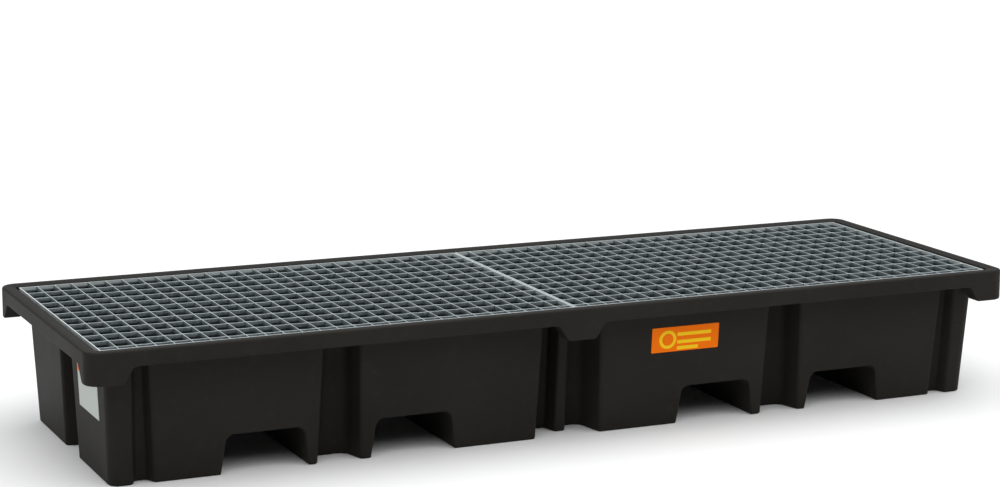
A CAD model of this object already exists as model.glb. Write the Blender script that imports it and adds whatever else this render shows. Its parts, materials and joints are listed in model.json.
import json
import random
from math import cos, pi, radians, sin

import bmesh
import bpy
from mathutils import Matrix, Vector


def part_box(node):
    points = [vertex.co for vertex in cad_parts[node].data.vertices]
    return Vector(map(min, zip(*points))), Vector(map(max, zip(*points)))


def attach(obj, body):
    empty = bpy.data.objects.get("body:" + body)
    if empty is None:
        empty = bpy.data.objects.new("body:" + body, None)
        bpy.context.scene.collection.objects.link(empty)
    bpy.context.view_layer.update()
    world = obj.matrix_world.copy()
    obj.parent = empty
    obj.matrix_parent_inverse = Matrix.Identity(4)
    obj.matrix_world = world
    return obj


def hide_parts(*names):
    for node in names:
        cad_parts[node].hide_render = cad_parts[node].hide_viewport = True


# Spill containment pallet: black moulded sump tub with two lift-off galvanised gratings.
# Metres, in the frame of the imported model: +X along the length, -Y the labelled front, +Z up.

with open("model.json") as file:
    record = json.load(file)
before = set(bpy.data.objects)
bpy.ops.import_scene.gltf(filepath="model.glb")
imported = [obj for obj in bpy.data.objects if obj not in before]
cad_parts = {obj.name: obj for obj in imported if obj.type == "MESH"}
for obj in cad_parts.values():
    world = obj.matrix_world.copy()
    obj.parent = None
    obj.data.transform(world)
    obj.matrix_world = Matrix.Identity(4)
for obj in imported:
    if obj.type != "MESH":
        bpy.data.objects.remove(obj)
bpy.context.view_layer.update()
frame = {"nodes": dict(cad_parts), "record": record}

# ---- shape of the gratings ----
BAR_EDGE = 0.0004             # chamfer along the edges of a cross bar
BAR_DIP = 0.0007              # how far a cross bar dips between two bearing bars
BAR_SWAY = 0.0005             # how far it sways sideways there
BAR_STEPS = 8                 # rings in a cross bar from one bearing bar to the next
ZINC_POINTS = 16              # points round a zinc fillet
ZINC_CORE = 0.0021            # its radius between the bars
ZINC_ARM = 0.0016             # and how much further it runs along them
ZINC_RINGS = ((0.0002, 0.80), (0.0009, 1.00), (0.0040, 0.78), (0.0090, 0.60))  # depth, share of the radius
ZINC_AT_BANDS = 0.7           # size of the fillets where bars meet the edge bands


# ---- steel: depths below the top of a grating, and linear colours ----
BAR_WORN = (0.0017, 0.0009)   # on the bars it starts to brighten and is fully bright
BAND_WORN = (0.0100, 0.0060)  # the same on the edge bands
BAR_BRIGHT = (0.50, 0.565, 0.580)
BAND_BRIGHT = (0.72, 0.775, 0.780)
STEEL_GRIMY = (0.0135, 0.0025)  # it is darkest, and it starts to darken
STEEL_GRIME = 0.90            # share of grime at the darkest
GRIME_COLOUR = (0.013, 0.020, 0.023)

# ---- light ----
AIR_FRONT = 0.10              # radiance of the world in front of the pallet
AIR_BACK = 0.62               # and behind it
AIR_COLOUR = (0.95, 0.975, 1.0, 1.0)
WALL_DIRECTION = (0.35, 0.94, 0.0)
SUNS = (                      # name, elevation, azimuth, spread in degrees, strength
    ("overhead", 80.0, -95.0, 100.0, 3.1),
    ("left_side", 25.0, 205.0, 50.0, 0.13),
    ("front_right", 32.0, -25.0, 50.0, 0.45),
)
FLOOR_REACH = 14.0            # half size of the floor

# ---- camera ----
CAMERA_PLACE = (-2.680, -5.992, 1.667)
CAMERA_YAW = radians(24.52)
CAMERA_PITCH = radians(10.66)
CAMERA_ROLL = radians(0.25)
CAMERA_LENS = 92.88
CAMERA_SHIFT = (-0.0305, -0.0008)
CAMERA_SENSOR = 36.0
CAMERA_CLIP = 60.0


# ---------------------------------------------------------------- node helpers

def new_material(name):
    """Empty node material with its Principled shader; returns (material, tree, shader)."""
    material = bpy.data.materials.new(name)
    material.use_nodes = True
    tree = material.node_tree
    shader = tree.nodes["Principled BSDF"]
    return material, tree, shader


def node(tree, kind, **settings):
    """New shader node; settings name its properties, or its inputs with spaces as underscores."""
    made = tree.nodes.new(kind)
    for key, value in settings.items():
        if hasattr(made, key):
            setattr(made, key, value)
        else:
            made.inputs[key.replace("_", " ")].default_value = value
    return made


def noise(tree, coords, scale, detail=3.0, roughness=0.5):
    made = node(tree, "ShaderNodeTexNoise", Scale=scale, Detail=detail, Roughness=roughness)
    tree.links.new(coords, made.inputs["Vector"])
    return made.outputs["Fac"]


def cells(tree, coords, scale):
    made = node(tree, "ShaderNodeTexVoronoi", Scale=scale)
    tree.links.new(coords, made.inputs["Vector"])
    return made


def ramp(tree, value, stops):
    """Colour ramp over value; each stop is (position, colour)."""
    made = node(tree, "ShaderNodeValToRGB")
    elements = made.color_ramp.elements
    while len(elements) < len(stops):
        elements.new(0.5)
    for element, (position, colour) in zip(elements, stops):
        element.position = position
        element.color = (*colour, 1.0)
    tree.links.new(value, made.inputs["Fac"])
    return made.outputs["Color"]


def level(tree, value, low, high, out_low, out_high):
    """Value from low..high mapped to out_low..out_high, held at both ends."""
    made = node(tree, "ShaderNodeMapRange")
    for name, number in (("From Min", low), ("From Max", high), ("To Min", out_low), ("To Max", out_high)):
        made.inputs[name].default_value = number
    tree.links.new(value, made.inputs["Value"])
    return made.outputs["Result"]


def blend_colours(tree, factor, first, second, mode="MIX"):
    made = node(tree, "ShaderNodeMix", data_type="RGBA", blend_type=mode)
    for socket, value in ((made.inputs[0], factor), (made.inputs[6], first), (made.inputs[7], second)):
        if isinstance(value, bpy.types.NodeSocket):
            tree.links.new(value, socket)
        elif isinstance(value, tuple):
            socket.default_value = (*value, 1.0)
        else:
            socket.default_value = value
    return made.outputs[2]


def bump(tree, height, distance, strength, below=None):
    made = node(tree, "ShaderNodeBump", Strength=strength, Distance=distance)
    tree.links.new(height, made.inputs["Height"])
    if below is not None:
        tree.links.new(below, made.inputs["Normal"])
    return made.outputs["Normal"]


def object_coords(tree):
    return node(tree, "ShaderNodeTexCoord").outputs["Object"]


def stretched(tree, coords, scale):
    made = node(tree, "ShaderNodeMapping", Scale=scale)
    tree.links.new(coords, made.inputs["Vector"])
    return made.outputs["Vector"]


# ---------------------------------------------------------------- materials

def tub_plastic():
    """Black rotomoulded polyethylene: pebbled skin, slow waviness, dust and fine scuffs."""
    material, tree, shader = new_material("tub_plastic")
    coords = object_coords(tree)
    drift = noise(tree, coords, 2.6, detail=5.0, roughness=0.6)
    colour = ramp(tree, drift, [(0.30, (0.0140, 0.0131, 0.0116)), (0.72, (0.0215, 0.0201, 0.0177))])
    dust = level(tree, noise(tree, coords, 34.0, detail=6.0, roughness=0.7), 0.55, 0.80, 0.0, 0.22)
    colour = blend_colours(tree, dust, colour, (0.045, 0.043, 0.038))
    scuff_coords = stretched(tree, coords, (9.0, 9.0, 120.0))
    scuffs = level(tree, noise(tree, scuff_coords, 3.0, detail=8.0, roughness=0.8), 0.66, 0.76, 0.0, 0.30)
    colour = blend_colours(tree, scuffs, colour, (0.060, 0.058, 0.053))
    tree.links.new(colour, shader.inputs["Base Color"])
    tree.links.new(level(tree, drift, 0.3, 0.7, 0.50, 0.64), shader.inputs["Roughness"])
    pebble = cells(tree, coords, 620.0).outputs["Distance"]
    skin = bump(tree, pebble, 0.00018, 0.35)
    skin = bump(tree, noise(tree, coords, 55.0, detail=2.0), 0.0006, 0.25, below=skin)
    tree.links.new(skin, shader.inputs["Normal"])
    shader.inputs["Specular IOR Level"].default_value = 0.08
    shader.inputs["Specular Tint"].default_value = (1.0, 0.95, 0.86, 1.0)
    return material


def galvanised_steel(name, top, worn, bright):
    """Hot-dip galvanised steel: spangle, grey bloom, runs of zinc, bright at the top and grimy below."""
    material, tree, shader = new_material(name)
    coords = object_coords(tree)
    spangle = cells(tree, coords, 150.0).outputs["Color"]
    crystals = ramp(tree, spangle, [(0.15, (0.19, 0.230, 0.243)), (0.85, (0.39, 0.445, 0.460))])
    bloom = level(tree, noise(tree, coords, 14.0, detail=6.0, roughness=0.65), 0.42, 0.70, 0.0, 0.75)
    colour = blend_colours(tree, bloom, crystals, (0.33, 0.382, 0.400))
    specks = level(tree, noise(tree, coords, 320.0, detail=3.0), 0.58, 0.70, 0.0, 0.60)
    colour = blend_colours(tree, specks, colour, (0.09, 0.115, 0.130))
    flecks = level(tree, noise(tree, coords, 230.0, detail=3.0), 0.60, 0.72, 0.0, 0.55)
    colour = blend_colours(tree, flecks, colour, (0.58, 0.640, 0.660))
    axes = node(tree, "ShaderNodeSeparateXYZ")
    tree.links.new(coords, axes.inputs["Vector"])
    height = axes.outputs["Z"]
    low, high = (top - depth for depth in STEEL_GRIMY)
    grime = level(tree, height, low, high, STEEL_GRIME, 0.0)
    colour = blend_colours(tree, grime, colour, GRIME_COLOUR)
    low, high = (top - depth for depth in worn)
    colour = blend_colours(tree, level(tree, height, low, high, 0.0, 1.0), colour, bright)
    tree.links.new(colour, shader.inputs["Base Color"])
    tree.links.new(level(tree, bloom, 0.0, 0.75, 0.42, 0.64), shader.inputs["Roughness"])
    runs = noise(tree, coords, 90.0, detail=4.0, roughness=0.6)
    tree.links.new(bump(tree, runs, 0.0006, 0.50), shader.inputs["Normal"])
    shader.inputs["Metallic"].default_value = 0.45
    shader.inputs["Specular IOR Level"].default_value = 0.45
    return material


def vinyl(name, colour, worn):
    """Printed vinyl film: faint mottling of the ink, grime and a smooth clear face."""
    material, tree, shader = new_material(name)
    coords = object_coords(tree)
    mottle = level(tree, noise(tree, coords, 40.0, detail=5.0), 0.35, 0.75, 0.0, 0.30)
    inked = blend_colours(tree, mottle, colour, worn)
    grime = level(tree, noise(tree, coords, 210.0, detail=6.0, roughness=0.75), 0.66, 0.82, 0.0, 0.25)
    inked = blend_colours(tree, grime, inked, tuple(0.35 * part for part in colour))
    tree.links.new(inked, shader.inputs["Base Color"])
    tree.links.new(level(tree, mottle, 0.0, 0.3, 0.42, 0.55), shader.inputs["Roughness"])
    film = noise(tree, coords, 26.0, detail=2.0)
    tree.links.new(bump(tree, film, 0.0008, 0.12), shader.inputs["Normal"])
    shader.inputs["Specular IOR Level"].default_value = 0.06
    shader.inputs["Coat Weight"].default_value = 0.02
    shader.inputs["Coat Roughness"].default_value = 0.20
    return material


def pale_floor():
    """Plain pale studio floor."""
    material, tree, shader = new_material("pale_floor")
    coords = object_coords(tree)
    drift = noise(tree, coords, 0.6, detail=2.0)
    tone = ramp(tree, drift, [(0.2, (0.86, 0.86, 0.86)), (0.8, (0.88, 0.88, 0.88))])
    tree.links.new(tone, shader.inputs["Base Color"])
    shader.inputs["Roughness"].default_value = 0.9
    shader.inputs["Specular IOR Level"].default_value = 0.0
    return material


def paint(piece, material):
    piece.data.materials.clear()
    piece.data.materials.append(material)


# ---------------------------------------------------------------- pieces

def mesh_piece(name, mesh_builder, material):
    """New mesh object, filled in by mesh_builder(bmesh)."""
    builder = bmesh.new()
    mesh_builder(builder)
    mesh = bpy.data.meshes.new(name)
    builder.to_mesh(mesh)
    builder.free()
    made = bpy.data.objects.new(name, mesh)
    bpy.context.scene.collection.objects.link(made)
    paint(made, material)
    return made


def bridge(builder, first, second):
    """Band of faces between two rings of vertices."""
    count = len(first)
    for index in range(count):
        after = (index + 1) % count
        builder.faces.new((first[index], first[after], second[after], second[index]))


def bearing_bar_places(grating):
    """X of the middle of every bearing bar of a grating, in order."""
    mesh = frame["nodes"][f"{grating}_bearing_bars"].data
    faces = sorted({round(vertex.co.x, 4) for vertex in mesh.vertices})
    return [(left + right) / 2 for left, right in zip(faces[::2], faces[1::2])]


def cross_bar_nodes(grating):
    return sorted(name for name in frame["nodes"] if name.startswith(f"{grating}_cross_bar_"))


def bar_profile(width, height):
    """Section of a flat bar with chamfered edges, as (y, z) round its middle."""
    y, z = width / 2, height / 2
    corners = [(y - BAR_EDGE, z), (y, z - BAR_EDGE), (y, BAR_EDGE - z), (y - BAR_EDGE, -z)]
    return corners + [(-a, b) for a, b in reversed(corners)]


def cross_bar(builder, low, high, columns, phase):
    """Flat bar from low to high that dips and sways a little between the bearing bars."""
    middle = (low + high) / 2
    profile = bar_profile(high.y - low.y, high.z - low.z)
    pitch = columns[1] - columns[0]
    rings = round((high.x - low.x) / pitch * BAR_STEPS)
    previous = None
    for index in range(rings + 1):
        x = low.x + (high.x - low.x) * index / rings
        turn = 2 * pi * (x - columns[0]) / pitch
        dip = BAR_DIP * (1 - cos(turn + 0.5 * sin(turn))) / 2
        sway = BAR_SWAY * sin(turn) * cos(phase + 0.13 * turn)
        ring = [builder.verts.new((x, middle.y + y + sway, middle.z + z - dip)) for y, z in profile]
        if previous is None:
            builder.faces.new(ring)
        else:
            bridge(builder, previous, ring)
        previous = ring
    builder.faces.new(reversed(previous))


def cross_bar_piece(grating, cad_node, material):
    number = int(cad_node[-2:])
    low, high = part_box(cad_node)
    columns = bearing_bar_places(grating)
    name = f"{grating}_pressed_bar_{number:02d}"
    made = mesh_piece(name, lambda builder: cross_bar(builder, low, high, columns, number), material)
    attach(made, grating)
    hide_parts(cad_node)


def zinc_fillet(builder, x, y, top, size):
    """Four-armed lump of zinc in the corners where two bars cross."""
    previous = None
    for depth, share in ZINC_RINGS:
        ring = []
        for index in range(ZINC_POINTS):
            angle = 2 * pi * index / ZINC_POINTS
            reach = (ZINC_CORE + ZINC_ARM * cos(2 * angle) ** 2) * share * size
            place = (x + reach * cos(angle), y + reach * sin(angle), top - depth)
            ring.append(builder.verts.new(place))
        if previous is None:
            builder.faces.new(ring)
        else:
            bridge(builder, ring, previous)
        previous = ring
    builder.faces.new(reversed(previous))


def zinc_piece(grating, material):
    """Zinc fillets at every joint of a grating: bar to bar, and bar to edge band."""
    draw = random.Random(len(grating))
    columns = bearing_bar_places(grating)
    boxes = [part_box(name) for name in cross_bar_nodes(grating)]
    rows = [(low.y + high.y) / 2 for low, high in boxes]
    start, end = boxes[0][0].x, boxes[0][1].x
    top = boxes[0][1].z
    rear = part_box(f"{grating}_rear_band")[0].y
    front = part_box(f"{grating}_front_band")[1].y
    joints = [(x, y, 1.0) for x in columns for y in rows]
    joints += [(x, y, ZINC_AT_BANDS) for x in columns for y in (front, rear)]
    joints += [(x, y, ZINC_AT_BANDS) for x in (start, end) for y in rows]

    def fillets(builder):
        for x, y, size in joints:
            zinc_fillet(builder, x, y, top, size * draw.uniform(0.85, 1.15))
    made = mesh_piece(f"{grating}_zinc_fillets", fillets, material)
    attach(made, grating)


# ---------------------------------------------------------------- stage

def add_floor():
    def flat(builder):
        corners = [(-1, -1), (1, -1), (1, 1), (-1, 1)]
        places = [(x * FLOOR_REACH, y * FLOOR_REACH, 0.0) for x, y in corners]
        builder.faces.new([builder.verts.new(place) for place in places])
    floor = mesh_piece("floor", flat, pale_floor())


def add_sun(name, elevation, azimuth, spread, strength):
    """Soft far light from a disc of the sky; azimuth is from +X towards +Y, angles in degrees."""
    lamp = bpy.data.lights.new(name, "SUN")
    lamp.angle = radians(spread)
    lamp.energy = strength
    made = bpy.data.objects.new(name, lamp)
    rise, turn = radians(elevation), radians(azimuth)
    towards = Vector((cos(rise) * cos(turn), cos(rise) * sin(turn), sin(rise)))
    made.rotation_euler = towards.to_track_quat("Z", "Y").to_euler()
    bpy.context.scene.collection.objects.link(made)


def add_world():
    """Studio air: dim in front of the pallet and bright towards the wall behind it."""
    world = bpy.data.worlds.new("studio")
    world.use_nodes = True
    tree = world.node_tree
    background = tree.nodes["Background"]
    background.inputs["Color"].default_value = AIR_COLOUR
    towards_wall = node(tree, "ShaderNodeVectorMath", operation="DOT_PRODUCT")
    towards_wall.inputs[1].default_value = WALL_DIRECTION
    tree.links.new(node(tree, "ShaderNodeTexCoord").outputs["Generated"], towards_wall.inputs[0])
    strength = level(tree, towards_wall.outputs["Value"], -0.2, 0.8, AIR_FRONT, AIR_BACK)
    tree.links.new(strength, background.inputs["Strength"])
    bpy.context.scene.world = world


def add_camera():
    lens = bpy.data.cameras.new("camera")
    lens.sensor_fit = "HORIZONTAL"
    lens.sensor_width = CAMERA_SENSOR
    lens.lens = CAMERA_LENS
    lens.shift_x, lens.shift_y = CAMERA_SHIFT
    lens.clip_end = CAMERA_CLIP
    made = bpy.data.objects.new("camera", lens)
    aim = Matrix.Rotation(-CAMERA_YAW, 4, "Z") @ Matrix.Rotation(pi / 2 - CAMERA_PITCH, 4, "X")
    made.matrix_world = Matrix.Translation(CAMERA_PLACE) @ aim @ Matrix.Rotation(CAMERA_ROLL, 4, "Z")
    bpy.context.scene.collection.objects.link(made)
    bpy.context.scene.camera = made


# ---------------------------------------------------------------- scene

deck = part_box("left_grating_front_band")[1].z
steel = galvanised_steel("galvanised_steel", deck, BAR_WORN, BAR_BRIGHT)
band_steel = galvanised_steel("galvanised_bands", deck, BAND_WORN, BAND_BRIGHT)
finishes = {
    "tub_plastic": tub_plastic(),
    "galvanised_steel": steel,
    "label_orange": vinyl("label_orange", (0.95, 0.175, 0.001), (0.98, 0.225, 0.002)),
    "label_yellow": vinyl("label_yellow", (0.98, 0.60, 0.010), (0.99, 0.68, 0.03)),
    "label_white": vinyl("label_white", (0.545, 0.585, 0.540), (0.61, 0.65, 0.60)),
}
for subpart in frame["record"]["subparts"]:
    name = subpart["node"]
    finish = band_steel if name.endswith("_band") else finishes[subpart["material_slot"]]
    paint(frame["nodes"][name], finish)

for grating in ("left_grating", "right_grating"):
    for cad_node in cross_bar_nodes(grating):
        cross_bar_piece(grating, cad_node, steel)
    zinc_piece(grating, steel)

add_floor()
add_world()
for sun in SUNS:
    add_sun(*sun)
add_camera()
bpy.context.scene.view_settings.view_transform = "Standard"
